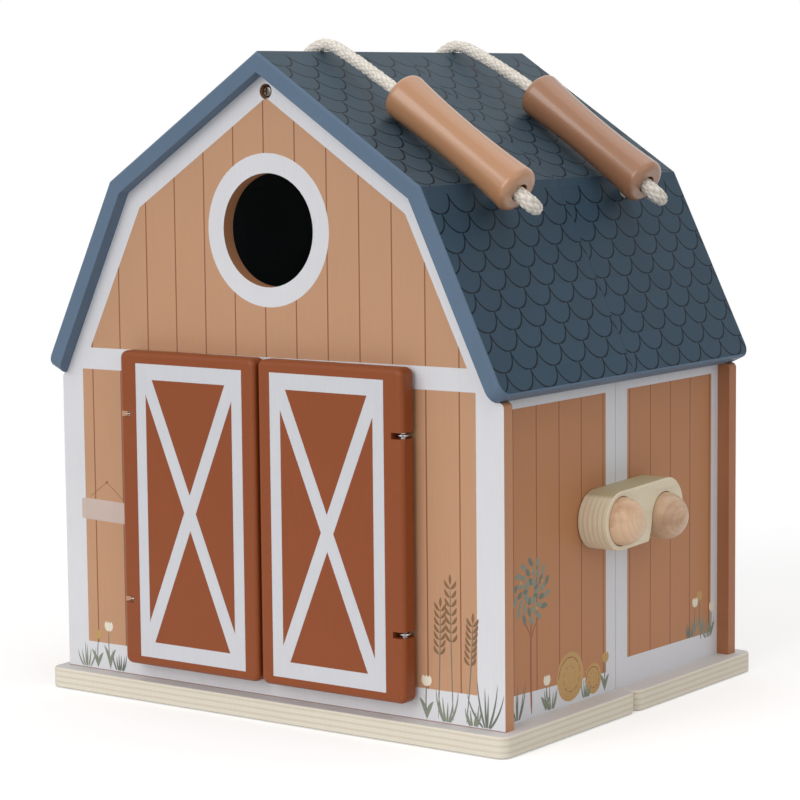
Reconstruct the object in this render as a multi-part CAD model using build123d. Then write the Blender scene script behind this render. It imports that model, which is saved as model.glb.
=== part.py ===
from build123d import *
import os
from math import asin, atan2, cos, degrees, pi, radians, sin, sqrt, tan

# Toy barn that carries like a case: two open-sided halves meet at the seam plane y = 0.
# X runs along the gable front, Y to the back, Z up; the origin is under the base at the seam.

# ---- driving dimensions, mm ----
base_width = 300.0
base_depth = 247.2              # both halves together
base_thickness = 11.0
base_corner_radius = 6.0
base_edge_round = 1.0
seam_gap = 0.3                  # between the two halves

gable_width = 288.0
gable_thickness = 7.5
gable_setback = 9.3             # gable's outer face behind the base's front edge
gable_corner_radius = 2.8       # where its edge turns in under the eave
side_wall_thickness = 7.5
side_wall_inset = 7.3           # side wall's outer face inside the gable's edge

ridge_height = 343.3
break_half_width = 100.7
break_height = 276.5
eave_half_width = 148.9
eave_height = 176.7
roof_thickness = 8.8
roof_overhang = 7.7             # beyond the gable's outer face
roof_edge_round = 1.6
eave_corner_radius = 7.0        # lower boards' corners, seen square on

window_radius = 29.1
window_drop = 80.0              # window's centre below the roof's inner apex
doorway_half_width = 78.0
doorway_bottom = 28.0
doorway_top = 170.0
doorway_corner_radius = 4.0

loft_height = 176.0             # loft floor's top face
loft_thickness = 7.0
ridge_beam_half_width = 15.0
ridge_beam_depth = 20.0         # from the inner apex down

door_width = 91.4
door_height = 167.6
door_thickness = 10.9
door_bottom = 20.4
door_meeting_gap = 1.8          # between the two doors
door_wall_gap = 1.2             # between door and gable
door_corner_radius = 4.0
door_edge_round = 2.8
door_pivot_inset = 3.5          # pin axis from the door's outer edge
door_pin_radius = 1.6
door_pin_fit = 0.05
door_pin_end_gap = 1.0          # pin end below the door's end face
door_pin_bite = 14.0            # pin beyond the notch
notch_height = 3.2
notch_clearance = 0.4
eye_wire_radius = 0.7
eye_shank_bite = 6.5
eye_heights = (55.1, 154.4)

latch_length = 76.6
latch_height = 30.4
latch_thickness = 17.0
latch_wall_gap = 0.5
latch_tilt = 2.0                # degrees that the hook end stands up
latch_edge_round = 1.0
peg_radius = 12.4
peg_clearance = 0.45
peg_height = 104.0
back_peg_drop = 2.8             # back peg below the front one
peg_spacing = 42.5
peg_tenon_radius = 4.0
peg_front_offset = 22.0         # front peg's axis from the seam
hook_sweep = 50.0               # degrees of the slot's curve below its closed end

rope_diameter = 7.0
rope_hole_clearance = 0.6
knot_radius = 7.2
knot_clearance = 0.25           # round the rope, past its end and off the hole's rim
rope_end_depth = 17.0           # rope end below the lower slope's outer face
rope_hole_drop = 10.0           # rope hole below the roof's break, along the lower slope
rope_hole_offset = 60.0         # rope hole from the seam
bend_share = 0.45               # of the shorter run, that a bend takes up

handle_length = 88.6
handle_end_radius = 12.3
handle_waist_radius = 10.75
handle_round = 3.6
handle_bore_radius = 4.9
handle_roof_gap = 0.3
handle_start = 58.6             # upper end of each handle, down the slope from the ridge
front_handle_y = (-74.5, -78.0)     # y of the front handle's upper and lower end
back_handle_y = (50.2, 43.0)

pad_thickness = 13.3            # brings the hinge barrel out past the base's edge
pad_width = 24.0
pad_height = 40.0
hinge_pad_round = 3.6
lower_hinge_rise = 47.0         # lower hinge's middle above the base
upper_hinge_drop = 33.0         # upper hinge's middle below the roof's inner eave
leaf_height = 34.0
leaf_width = 17.0
leaf_thickness = 1.2
leaf_setback = 0.6              # leaf's free edge from the hinge pin's axis
leaf_screw_share = 0.62         # screws' place across the leaf
barrel_radius = 2.2
hinge_pin_radius = 1.1
hinge_pin_fit = 0.05
knuckle_count = 3
knuckle_gap = 0.3
hinge_screw_radius = 1.5
hinge_screw_head_radius = 2.7
hinge_screw_head_height = 1.1
hinge_screw_length = 11.0
hinge_screw_spacing = 20.0

gable_screw_head_radius = 3.4
gable_screw_recess_radius = 3.9
gable_screw_recess = 3.2
gable_screw_radius = 1.6
gable_screw_length = 22.0
gable_screw_head_share = 0.75    # head height over the recess's depth
gable_screw_crown_share = 0.8    # crown's rounding over the head's height
screw_slot_width = 0.8
gable_screw_drop = 9.7          # below the roof's inner apex

# ---- sizes that follow from them ----
half_gap = seam_gap / 2
fillet_margin = 0.1             # keeps a rounding shorter than its edge
gable_face = base_depth / 2 - gable_setback
gable_inner = gable_face - gable_thickness
side_face = gable_width / 2 - side_wall_inset
side_inner = side_face - side_wall_thickness
roof_front = gable_face + roof_overhang
upper_slope = atan2(ridge_height - break_height, break_half_width)
lower_slope = atan2(break_height - eave_height, eave_half_width - break_half_width)
mitre = (upper_slope + lower_slope) / 2
mitre_length = roof_thickness / cos((lower_slope - upper_slope) / 2)
inner_apex = (0.0, ridge_height - roof_thickness / cos(upper_slope))
inner_break = (break_half_width - mitre_length * sin(mitre), break_height - mitre_length * cos(mitre))
inner_eave = (eave_half_width - roof_thickness * sin(lower_slope),
              eave_height - roof_thickness * cos(lower_slope))
door_back = gable_face + door_wall_gap
door_front = door_back + door_thickness
door_inner_edge = door_meeting_gap / 2
door_outer_edge = door_inner_edge + door_width
pivot_x = door_outer_edge - door_pivot_inset
pivot_y = -(door_back + door_thickness / 2)
eye_inner_radius = door_pin_radius + door_pin_fit
eye_radius = eye_inner_radius + eye_wire_radius
eye_outer_radius = eye_radius + eye_wire_radius
notch_depth = door_pivot_inset + eye_outer_radius + notch_clearance
latch_back = side_face + latch_wall_gap
latch_front = latch_back + latch_thickness
rope_radius = rope_diameter / 2
rope_hole_radius = rope_radius + rope_hole_clearance
handle_axis_height = handle_end_radius + handle_roof_gap
window_height = inner_apex[1] - window_drop
gable_screw_height = inner_apex[1] - gable_screw_drop
hinge_heights = (base_thickness + lower_hinge_rise, inner_eave[1] - upper_hinge_drop)
hinge_axis_x = -(side_face + pad_thickness + barrel_radius)
leaf_outer_x = -(side_face + pad_thickness + leaf_thickness)

# Rope routes, from inside the left roof panel over the ridge, through the handle and back in.
front_rope_route = [
    (-89.7, -60, 260.1), (-99.7, -60, 264.7), (-110, -60, 269.9),
    (-110.2, -60, 278.4), (-96.4, -60.7, 286), (-80.9, -61.6, 295.2),
    (-62.3, -62.7, 307), (-44, -63.8, 319.2), (-26.7, -64.8, 331.1),
    (-13.9, -65.6, 340.8), (-4, -66, 347.4), (5.5, -66.5, 347),
    (17.4, -68.8, 341.5), (31.4, -71.4, 334.6), (44.9, -74.3, 327.7),
    (58.7, -74.9, 319.6), (74.7, -75.6, 309.3), (91.4, -76.3, 298.3),
    (107.9, -77, 287), (122.7, -77.7, 276.7), (134.5, -78.2, 268.3),
    (135.2, -70.4, 264), (126.2, -62.5, 265.3), (113.1, -60, 271.4),
    (101.5, -60, 265.6), (89.7, -60, 260.1)]
back_rope_route = [
    (-89.7, 60, 260.1), (-99.7, 60, 264.7), (-110, 60, 269.9),
    (-110.2, 60, 278.4), (-96.4, 59.2, 286), (-80.9, 58.2, 295.2),
    (-62.3, 57.1, 307), (-44, 55.9, 319.2), (-26.7, 54.8, 331.1),
    (-13.9, 54, 340.8), (-4, 53.5, 347.4), (5.5, 53.3, 347),
    (17.4, 52.9, 341.5), (31.4, 52.1, 334.6), (44.9, 50.6, 327.7),
    (58.7, 49.4, 319.6), (74.7, 48, 309.3), (91.4, 46.5, 298.3),
    (107.9, 45, 287), (122.7, 43.6, 276.7), (134.5, 42.8, 268.3),
    (135.2, 50.1, 264), (126.2, 57.6, 265.3), (113.1, 60, 271.4),
    (101.5, 60, 265.6), (89.7, 60, 260.1)]


# ---- helpers ----
def prism_along_y(section, side, near, far):
    """Extrude an XZ section from y = side*near to y = side*far."""
    high = max(side * near, side * far)
    plane = Plane(origin=(0, high, 0), x_dir=(1, 0, 0), z_dir=(0, -1, 0))
    return extrude(plane * section, amount=abs(far - near), dir=(0, -1, 0))


def prism_along_x(section, start, length):
    """Extrude a YZ section from x = start by length."""
    plane = Plane(origin=(start, 0, 0), x_dir=(0, 1, 0), z_dir=(1, 0, 0))
    return extrude(plane * section, amount=length, dir=(1, 0, 0))


def rod(start, end, radius):
    """Round bar between two points."""
    axis = Vector(*end) - Vector(*start)
    return extrude(Plane(origin=start, z_dir=axis) * Circle(radius), amount=axis.length)


def mirrored_x(points):
    return [(-x, z) for x, z in points]


def on_lower_slope(drop, height, y, hand):
    """Point drop down the lower slope from the break and height off its outer face."""
    x = break_half_width + drop * cos(lower_slope) + height * sin(lower_slope)
    z = break_height - drop * sin(lower_slope) + height * cos(lower_slope)
    return (hand * x, y, z)


def rope_hole(hand, y):
    """Drill square to the lower slope, right through the panel."""
    return rod(on_lower_slope(rope_hole_drop, roof_thickness, y, hand),
               on_lower_slope(rope_hole_drop, -2 * roof_thickness, y, hand), rope_hole_radius)


# ---- walls, floors and roof of one half; side is -1 at the front and 1 at the back ----
def base_plate(side):
    size_y = base_depth / 2 - half_gap
    centre = (0, side * (half_gap + size_y / 2), base_thickness / 2)
    plate = Pos(*centre) * Box(base_width, size_y, base_thickness)
    plate = fillet(plate.edges().filter_by(Axis.Z), base_corner_radius)
    rims = plate.edges().group_by(Axis.Z)
    return fillet(rims[0] + rims[-1], base_edge_round)


def gable_outline():
    """Gable between the base and the roof's inner faces, with rounded eave corners."""
    half = gable_width / 2
    shoulder = inner_eave[1]
    right = [(half, base_thickness), (half, shoulder), inner_eave, inner_break]
    outline = Polygon(*right, inner_apex, *mirrored_x(right)[::-1], align=None)
    corners = [v for v in outline.vertices() if abs(abs(v.X) - half) < 1e-6 and abs(v.Y - shoulder) < 1e-6]
    return fillet(corners, min(gable_corner_radius, abs(half - inner_eave[0]) - fillet_margin))


def gable_screw_hole(side):
    face = side * gable_face
    head = rod((0, face, gable_screw_height), (0, face - side * gable_screw_recess, gable_screw_height),
               gable_screw_recess_radius)
    shank = rod((0, face, gable_screw_height), (0, face - side * gable_thickness, gable_screw_height),
                gable_screw_radius)
    return head + shank


def gable_wall(side):
    wall = prism_along_y(gable_outline(), side, gable_inner, gable_face) - gable_screw_hole(side)
    if side > 0:
        return wall
    window = Pos(0, window_height) * Circle(window_radius)
    doorway = Pos(0, (doorway_bottom + doorway_top) / 2) * RectangleRounded(
        2 * doorway_half_width, doorway_top - doorway_bottom, doorway_corner_radius)
    wall -= prism_along_y(window, side, gable_inner, gable_face)
    wall -= prism_along_y(doorway, side, gable_inner, gable_face)
    for hand in (-1, 1):
        for height in eye_heights:
            wall -= rod((hand * pivot_x, -gable_face, height),
                        (hand * pivot_x, -gable_face + eye_shank_bite, height), eye_wire_radius)
    return wall


def roof_inner_z(x):
    """Height of the lower slope's inner face above x."""
    return inner_eave[1] + (inner_eave[0] - x) * tan(lower_slope)


def side_wall(side, hand):
    section = Polygon((side_inner, base_thickness), (side_face, base_thickness),
                      (side_face, roof_inner_z(side_face)), (side_inner, roof_inner_z(side_inner)),
                      align=None)
    wall = prism_along_y(section, side, half_gap, gable_inner)
    if hand < 0:
        return mirror(wall, about=Plane.YZ)
    peg_y, peg_z = peg_position(side)
    return wall - rod((side_inner, peg_y, peg_z), (side_face, peg_y, peg_z), peg_tenon_radius)


def roof_panel(points, side, hand, hole_y=None):
    """One roof board; an eave board has a rounded corner, and outer edges in the open are eased."""
    panel = prism_along_y(Polygon(*points, align=None), side, half_gap, roof_front)
    high, low, low_inner = (Vector(x, 0, z) for x, z in points[:3])
    at_eave = points[1] == (eave_half_width, eave_height)
    if at_eave:
        corner = (low + low_inner) / 2 + Vector(0, side * roof_front, 0)
        panel = fillet([e for e in panel.edges() if (e.center() - corner).length < 1e-3], eave_corner_radius)
    outward = Vector(high.Z - low.Z, 0, low.X - high.X)
    outer_face = panel.faces().sort_by(lambda f: f.center().dot(outward))[-1]
    joined = [high] if at_eave else [high, low]
    eased = [e for e in outer_face.edges() if abs(e.center().Y) > seam_gap
             and all(abs(e.center().X - end.X) > 1e-3 for end in joined)]
    panel = fillet(eased, roof_edge_round)
    if hand < 0:
        panel = mirror(panel, about=Plane.YZ)
    if hole_y is not None:
        panel -= rope_hole(hand, hole_y)
    return panel


def upper_roof(side, hand):
    points = [(0, ridge_height), (break_half_width, break_height), inner_break, inner_apex]
    return roof_panel(points, side, hand)


def lower_roof(side, hand):
    points = [(break_half_width, break_height), (eave_half_width, eave_height), inner_eave, inner_break]
    return roof_panel(points, side, hand, side * rope_hole_offset)


def ridge_beam(side):
    """Glue batten under the ridge that the gable screw bites into."""
    w = ridge_beam_half_width
    shoulder = inner_apex[1] - w * tan(upper_slope)
    bottom = inner_apex[1] - ridge_beam_depth
    section = Polygon(inner_apex, (w, shoulder), (w, bottom), (-w, bottom), (-w, shoulder), align=None)
    beam = prism_along_y(section, side, half_gap, gable_inner)
    depth = gable_screw_length + gable_screw_recess
    return beam - rod((0, side * gable_inner, gable_screw_height),
                      (0, side * (gable_face - depth), gable_screw_height), gable_screw_radius)


def loft_floor(side):
    section = Pos(0, loft_height - loft_thickness / 2) * Rectangle(2 * side_inner, loft_thickness)
    return prism_along_y(section, side, half_gap, gable_inner)


def gable_screw(side):
    """Dome-headed screw with a cross recess, sunk in the gable's counterbore."""
    seat = side * (gable_face - gable_screw_recess)
    z = gable_screw_height
    head_height = gable_screw_recess * gable_screw_head_share
    head = rod((0, seat, z), (0, seat + side * head_height, z), gable_screw_head_radius)
    crown = head.faces().sort_by(Axis.Y)[-1 if side > 0 else 0]
    head = fillet(crown.edges(), head_height * gable_screw_crown_share)
    slot = gable_screw_head_radius
    for size in ((slot, screw_slot_width), (screw_slot_width, slot)):
        head -= Pos(0, seat + side * head_height, z) * Box(size[0], head_height, size[1])
    return head + rod((0, seat, z), (0, seat - side * gable_screw_length, z), gable_screw_radius)


# ---- doors ----
def door(hand):
    section = RectangleRounded(door_width, door_height, door_corner_radius)
    centre = Pos(hand * (door_inner_edge + door_width / 2), door_bottom + door_height / 2)
    leaf = prism_along_y(centre * section, -1, door_back, door_front)
    rims = leaf.faces().sort_by(Axis.Y)
    leaf = fillet(rims[0].edges() + rims[-1].edges(), door_edge_round)
    notch_x = hand * (door_outer_edge - notch_depth / 2 + door_edge_round)
    for height in eye_heights:
        leaf -= Pos(notch_x, pivot_y, height) * Box(
            notch_depth + 2 * door_edge_round, 2 * door_thickness, notch_height)
    for start, end in pin_spans():
        leaf -= rod((hand * pivot_x, pivot_y, start), (hand * pivot_x, pivot_y, end), door_pin_radius)
    return leaf


def pin_spans():
    """Lower and upper pin, each from near a door end to beyond its notch."""
    low = (door_bottom + door_pin_end_gap, eye_heights[0] + door_pin_bite)
    high = (eye_heights[1] - door_pin_bite, door_bottom + door_height - door_pin_end_gap)
    return low, high


def door_pins(hand):
    return Compound([rod((hand * pivot_x, pivot_y, start), (hand * pivot_x, pivot_y, end), door_pin_radius)
                     for start, end in pin_spans()])


def screw_eye(hand, height):
    """Wire ring round the door pin, on a shank that bites into the gable."""
    ring = Pos(hand * pivot_x, pivot_y, height) * Torus(eye_radius, eye_wire_radius)
    shank = rod((hand * pivot_x, pivot_y + eye_radius, height),
                (hand * pivot_x, -gable_face + eye_shank_bite, height), eye_wire_radius)
    return ring + shank


# ---- latch ----
def peg_position(side):
    """y and z of the peg on one half; the front peg carries the latch."""
    if side < 0:
        return -peg_front_offset, peg_height
    across = sqrt(peg_spacing ** 2 - back_peg_drop ** 2)
    return across - peg_front_offset, peg_height - back_peg_drop


def latch_peg(side):
    """Turned peg: tenon in the wall, round shank, half-round end."""
    shoulder = side_face - side_inner
    rim = latch_front - side_inner
    slant = peg_radius * cos(pi / 4)
    profile = Polyline((0, rim + peg_radius), (0, 0), (peg_tenon_radius, 0),
                       (peg_tenon_radius, shoulder), (peg_radius, shoulder), (peg_radius, rim))
    profile += ThreePointArc((peg_radius, rim), (slant, rim + slant), (0, rim + peg_radius))
    peg = revolve(Plane.XZ * make_face(profile), axis=Axis.Z)
    return Plane(origin=(side_inner, *peg_position(side)), z_dir=(1, 0, 0)) * peg


def latch_block():
    """Round-ended turn latch: a hole on the front peg, and a curved slot open below for the back peg."""
    hole = peg_radius + peg_clearance
    shift = (latch_length - latch_height) / 2
    outline = Pos(shift, 0) * SlotCenterToCenter(latch_length - latch_height, latch_height)
    slot_end = -asin(back_peg_drop / peg_spacing) - radians(latch_tilt)
    slot_low = slot_end - radians(hook_sweep)
    reach = 2 * latch_length
    wedge = Polygon((0, 0), (reach, reach * tan(slot_end)), (reach, reach * tan(slot_low)), align=None)
    track = (Circle(peg_spacing + hole) - Circle(peg_spacing - hole)) & wedge
    seat = Pos(peg_spacing * cos(slot_end), peg_spacing * sin(slot_end)) * Circle(hole)
    place = Pos(*peg_position(-1)) * Rot(0, 0, latch_tilt)
    block = prism_along_x(place * outline, latch_back, latch_thickness)
    block = chamfer(block.edges().group_by(Axis.X)[-1], latch_edge_round / 2)
    block -= prism_along_x(place * (track + seat + Circle(hole)), latch_back - peg_clearance,
                           latch_thickness + 2 * peg_clearance)
    return max(block.solids(), key=lambda s: s.volume)


# ---- rope handles ----
def corner_radii(route):
    """Radius at each corner: a share of the shorter run over the tangent of half the turn."""
    radii = []
    for before, here, after in zip(route, route[1:], route[2:]):
        run_in = Vector(*here) - Vector(*before)
        run_out = Vector(*after) - Vector(*here)
        half_turn = radians(run_in.get_angle(run_out)) / 2
        radii.append(bend_share * min(run_in.length, run_out.length) / tan(half_turn))
    return radii


def rope(route):
    radii = corner_radii(route)
    path = FilletPolyline(*route, radius=radii)
    tube = sweep(Plane(origin=path @ 0, z_dir=path % 0) * Circle(rope_radius), path=path)
    expected = pi * rope_radius ** 2 * path.length
    print("rope length", round(path.length, 1), "volume ratio", round(tube.volume / expected, 5),
          "radii", [round(r, 1) for r in radii])
    return tube


def rope_knot():
    """Ball about the origin with a blind bore from the top for the rope's end."""
    bore = rope_radius + knot_clearance
    mouth = (knot_radius ** 2 - bore ** 2) ** 0.5
    bottom = knot_depth() - rope_end_depth - knot_clearance
    profile = Polyline((bore, mouth), (bore, bottom), (0, bottom), (0, -knot_radius))
    profile += ThreePointArc((0, -knot_radius), (knot_radius, 0), (bore, mouth))
    return revolve(Plane.XZ * make_face(profile), axis=Axis.Z)


def knot_depth():
    """Knot's centre below the lower slope's outer face, drawn up to the hole's inner rim."""
    return roof_thickness + (knot_radius ** 2 - rope_hole_radius ** 2) ** 0.5 + knot_clearance


def rope_knots(side):
    """Stopper knots round the rope's two ends."""
    y = side * rope_hole_offset
    knots = []
    for hand in (-1, 1):
        centre = Vector(*on_lower_slope(rope_hole_drop, -knot_depth(), y, hand))
        outward = Vector(*on_lower_slope(rope_hole_drop, 0, y, hand)) - centre
        knots.append(Plane(origin=centre, z_dir=outward) * rope_knot())
    return Compound(knots)


def on_upper_slope(drop, y):
    """Point on the handle's axis, drop down the right slope from the ridge."""
    x = drop * cos(upper_slope) + handle_axis_height * sin(upper_slope)
    z = ridge_height - drop * sin(upper_slope) + handle_axis_height * cos(upper_slope)
    return (x, y, z)


def handle(ends_y):
    """Waisted turned handle with rounded ends and a rope bore."""
    top = on_upper_slope(handle_start, ends_y[0])
    bottom = on_upper_slope(handle_start + handle_length, ends_y[1])
    half = handle_length / 2
    flat = handle_end_radius - handle_round
    bend = handle_round * (1 - cos(pi / 4))
    profile = Polyline((flat, -half), (handle_bore_radius, -half), (handle_bore_radius, half), (flat, half))
    profile += ThreePointArc((flat, half), (handle_end_radius - bend, half - bend),
                             (handle_end_radius, half - handle_round))
    profile += ThreePointArc((handle_end_radius, half - handle_round), (handle_waist_radius, 0),
                             (handle_end_radius, handle_round - half))
    profile += ThreePointArc((handle_end_radius, handle_round - half),
                             (handle_end_radius - bend, bend - half), (flat, -half))
    body = revolve(Plane.XZ * make_face(profile), axis=Axis.Z)
    axis = Vector(*bottom) - Vector(*top)
    centre = (Vector(*bottom) + Vector(*top)) / 2
    return Plane(origin=centre, z_dir=axis) * body


# ---- hinges on the left side ----
def hinge_pad(side, height):
    y = side * (half_gap + pad_width / 2)
    x = -(side_face + pad_thickness / 2)
    pad = Pos(x, y, height) * Box(pad_thickness, pad_width, pad_height)
    outer = [e for e in pad.edges().filter_by(Axis.Z) if abs(e.center().Y) > pad_width / 2]
    pad = fillet(outer, hinge_pad_round)
    for y_s, z_s in hinge_screw_places(side, height):
        pad -= rod((leaf_outer_x, y_s, z_s), (leaf_outer_x + hinge_screw_length, y_s, z_s),
                   hinge_screw_radius)
    return pad


def hinge_screw_places(side, height):
    y = side * (leaf_setback + leaf_width * leaf_screw_share)
    return [(y, height - hinge_screw_spacing / 2), (y, height + hinge_screw_spacing / 2)]


def knuckle_spans(height):
    """Heights of the knuckles, bottom to top, with a gap between neighbours."""
    pitch = leaf_height / knuckle_count
    bottom = height - leaf_height / 2
    return [(bottom + i * pitch + knuckle_gap / 2, bottom + (i + 1) * pitch - knuckle_gap / 2)
            for i in range(knuckle_count)]


def hinge_leaf(side, height):
    """Flat leaf with every other knuckle; the front leaf has the end ones."""
    x = leaf_outer_x + leaf_thickness / 2
    y = side * (leaf_setback + leaf_width / 2)
    leaf = Pos(x, y, height) * Box(leaf_thickness, leaf_width, leaf_height)
    first = 0 if side < 0 else 1
    for index, (low, high) in enumerate(knuckle_spans(height)):
        tall = (high - low)
        middle = (low + high) / 2
        strip = Pos(x, side * barrel_radius / 2, middle) * Box(leaf_thickness, barrel_radius, tall)
        if index % 2 == first:
            leaf += strip
            leaf += rod((hinge_axis_x, 0, low), (hinge_axis_x, 0, high), barrel_radius)
        else:
            leaf -= rod((hinge_axis_x, 0, low - knuckle_gap), (hinge_axis_x, 0, high + knuckle_gap),
                        barrel_radius + knuckle_gap)
    leaf -= rod((hinge_axis_x, 0, height - leaf_height), (hinge_axis_x, 0, height + leaf_height),
                hinge_pin_radius + hinge_pin_fit)
    for y_s, z_s in hinge_screw_places(side, height):
        leaf -= rod((leaf_outer_x, y_s, z_s), (leaf_outer_x + leaf_thickness, y_s, z_s), hinge_screw_radius)
    return leaf


def hinge_pin(height):
    half = leaf_height / 2
    shaft = rod((hinge_axis_x, 0, height - half), (hinge_axis_x, 0, height + half), hinge_pin_radius)
    caps = [rod((hinge_axis_x, 0, height + s * half), (hinge_axis_x, 0, height + s * (half + leaf_thickness)),
                barrel_radius) for s in (-1, 1)]
    return shaft + caps[0] + caps[1]


def hinge_screws(side):
    """Round-headed wood screws through one half's hinge leaves."""
    screws = []
    for height in hinge_heights:
        for y, z in hinge_screw_places(side, height):
            head = rod((leaf_outer_x, y, z), (leaf_outer_x - hinge_screw_head_height, y, z),
                       hinge_screw_head_radius)
            head = fillet(head.faces().sort_by(Axis.X)[0].edges(), hinge_screw_head_height / 2)
            shank = rod((leaf_outer_x, y, z), (leaf_outer_x + hinge_screw_length, y, z), hinge_screw_radius)
            screws.append(head + shank)
    return Compound(screws)


# ---- the parts ----
def half_parts(name, side, route, handle_y):
    parts = {
        f"{name}_base": base_plate(side),
        f"{name}_gable": gable_wall(side),
        f"{name}_ridge_beam": ridge_beam(side),
        f"{name}_loft_floor": loft_floor(side),
        f"{name}_gable_screw": gable_screw(side),
        f"{name}_latch_peg": latch_peg(side),
        f"{name}_rope": rope(route),
        f"{name}_rope_knots": rope_knots(side),
        f"{name}_handle": handle(handle_y),
        f"{name}_hinge_pads": Compound([hinge_pad(side, h) for h in hinge_heights]),
        f"{name}_hinge_leaves": Compound([hinge_leaf(side, h) for h in hinge_heights]),
        f"{name}_hinge_screws": hinge_screws(side)}
    for hand, word in ((-1, "left"), (1, "right")):
        parts[f"{name}_side_{word}"] = side_wall(side, hand)
        parts[f"{name}_roof_upper_{word}"] = upper_roof(side, hand)
        parts[f"{name}_roof_lower_{word}"] = lower_roof(side, hand)
    return parts


def all_parts():
    parts = half_parts("front", -1, front_rope_route, front_handle_y)
    parts.update(half_parts("back", 1, back_rope_route, back_handle_y))
    parts["latch_block"] = latch_block()
    parts["hinge_pins"] = Compound([hinge_pin(h) for h in hinge_heights])
    for hand, word in ((-1, "left"), (1, "right")):
        parts[f"door_{word}"] = door(hand)
        parts[f"door_{word}_pins"] = door_pins(hand)
        parts[f"door_{word}_screw_eyes"] = Compound([screw_eye(hand, h) for h in eye_heights])
    return parts


os.makedirs("parts", exist_ok=True)
for node, shape in all_parts().items():
    export_step(shape, f"parts/{node}.step")
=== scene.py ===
import math

import bmesh
import bpy
import numpy as np
from mathutils import Matrix, Vector


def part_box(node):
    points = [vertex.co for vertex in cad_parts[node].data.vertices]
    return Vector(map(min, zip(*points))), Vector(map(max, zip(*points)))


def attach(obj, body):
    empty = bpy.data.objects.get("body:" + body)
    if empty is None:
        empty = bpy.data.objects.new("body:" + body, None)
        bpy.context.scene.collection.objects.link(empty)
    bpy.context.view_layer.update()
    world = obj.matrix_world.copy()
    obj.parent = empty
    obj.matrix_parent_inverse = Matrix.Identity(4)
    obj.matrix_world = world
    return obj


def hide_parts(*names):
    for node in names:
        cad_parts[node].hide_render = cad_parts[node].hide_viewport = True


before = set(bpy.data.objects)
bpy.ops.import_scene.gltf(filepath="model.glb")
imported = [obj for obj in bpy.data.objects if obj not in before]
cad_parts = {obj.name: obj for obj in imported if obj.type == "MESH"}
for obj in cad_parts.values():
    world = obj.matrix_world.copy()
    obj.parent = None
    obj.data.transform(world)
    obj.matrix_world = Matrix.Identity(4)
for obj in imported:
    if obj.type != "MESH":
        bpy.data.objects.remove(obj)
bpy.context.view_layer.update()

mm = 0.001

# the barn's own lines, in mm, as its solids have them
barn = {
    "ridgeHeight": 343.3, "breakHalfWidth": 100.7, "breakHeight": 276.5,
    "eaveHalfWidth": 148.9, "eaveHeight": 176.7,
    "gableFace": 114.3, "sideFace": 136.7, "windowHeight": 252.74,
}


def tint(red, green, blue):
    # screen colour 0-255 to linear light
    c = np.array([red, green, blue]) / 255.0
    linear = np.where(c <= 0.04045, c / 12.92, ((c + 0.055) / 1.055) ** 2.4)
    return (*[float(v) for v in linear], 1.0)


cameraSettings = {
    "place": (866.93, -1190.30, 323.02), "azimuth": 36.101, "elevation": 6.520, "roll": -0.551,
    "lens": 2712.1 / 800 * 36.0, "sensor": 36.0,
}


def makeCamera(settings):
    azimuth, elevation, roll = (math.radians(settings[k]) for k in ("azimuth", "elevation", "roll"))
    back = Vector((math.sin(azimuth) * math.cos(elevation), -math.cos(azimuth) * math.cos(elevation),
                   math.sin(elevation)))
    right = Vector((math.cos(azimuth), math.sin(azimuth), 0))
    up = back.cross(right)
    turnedRight = math.cos(roll) * right + math.sin(roll) * up
    turnedUp = -math.sin(roll) * right + math.cos(roll) * up
    camera = bpy.data.objects.new("camera", bpy.data.cameras.new("camera"))
    bpy.context.collection.objects.link(camera)
    camera.matrix_world = Matrix.Translation(Vector(settings["place"]) * mm) @ Matrix(
        (turnedRight, turnedUp, back)).transposed().to_4x4()
    camera.data.lens = settings["lens"]
    camera.data.sensor_width = settings["sensor"]
    camera.data.clip_start = 0.01
    bpy.context.scene.camera = camera
    return camera


makeCamera(cameraSettings)
print("camera placed")


def feed(tree, socket, value):
    # a field or another node's socket is linked, a plain value is set
    if isinstance(value, Field):
        value = value.socket
    if isinstance(value, bpy.types.NodeSocket):
        tree.links.new(value, socket)
    else:
        socket.default_value = value


class Field:
    # one value over a surface; arithmetic on it adds Math nodes
    def __init__(self, tree, socket):
        self.tree, self.socket = tree, socket

    def calc(self, operation, *others):
        node = self.tree.nodes.new("ShaderNodeMath")
        node.operation = operation
        for index, value in enumerate((self, *others)):
            feed(self.tree, node.inputs[index], value)
        return Field(self.tree, node.outputs[0])

    def __add__(self, other):
        return self.calc("ADD", other)

    def __sub__(self, other):
        return self.calc("SUBTRACT", other)

    def __mul__(self, other):
        return self.calc("MULTIPLY", other)

    def __truediv__(self, other):
        return self.calc("DIVIDE", other)

    def size(self):
        return self.calc("ABSOLUTE")

    def least(self, other):
        return self.calc("MINIMUM", other)

    def most(self, other):
        return self.calc("MAXIMUM", other)

    def clip(self):
        return self.most(0.0).least(1.0)

    def ramp(self, softness=0.25):
        # 0 below zero, 1 above it, with a soft step that many units wide
        return (self * (1.0 / softness) + 0.5).clip()


def addNode(tree, kind, inputs=None, **settings):
    node = tree.nodes.new(kind)
    for name, value in settings.items():
        setattr(node, name, value)
    for name, value in (inputs or {}).items():
        feed(tree, node.inputs[name], value)
    return node


def noise(tree, vector, scale, detail, roughness=0.5, **more):
    node = addNode(tree, "ShaderNodeTexNoise", {"Vector": vector, "Scale": scale, "Detail": detail,
                                                "Roughness": roughness, **more})
    return Field(tree, node.outputs["Fac"])


def stretch(tree, vector, scale):
    return addNode(tree, "ShaderNodeMapping", {"Vector": vector, "Scale": scale}).outputs[0]


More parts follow.
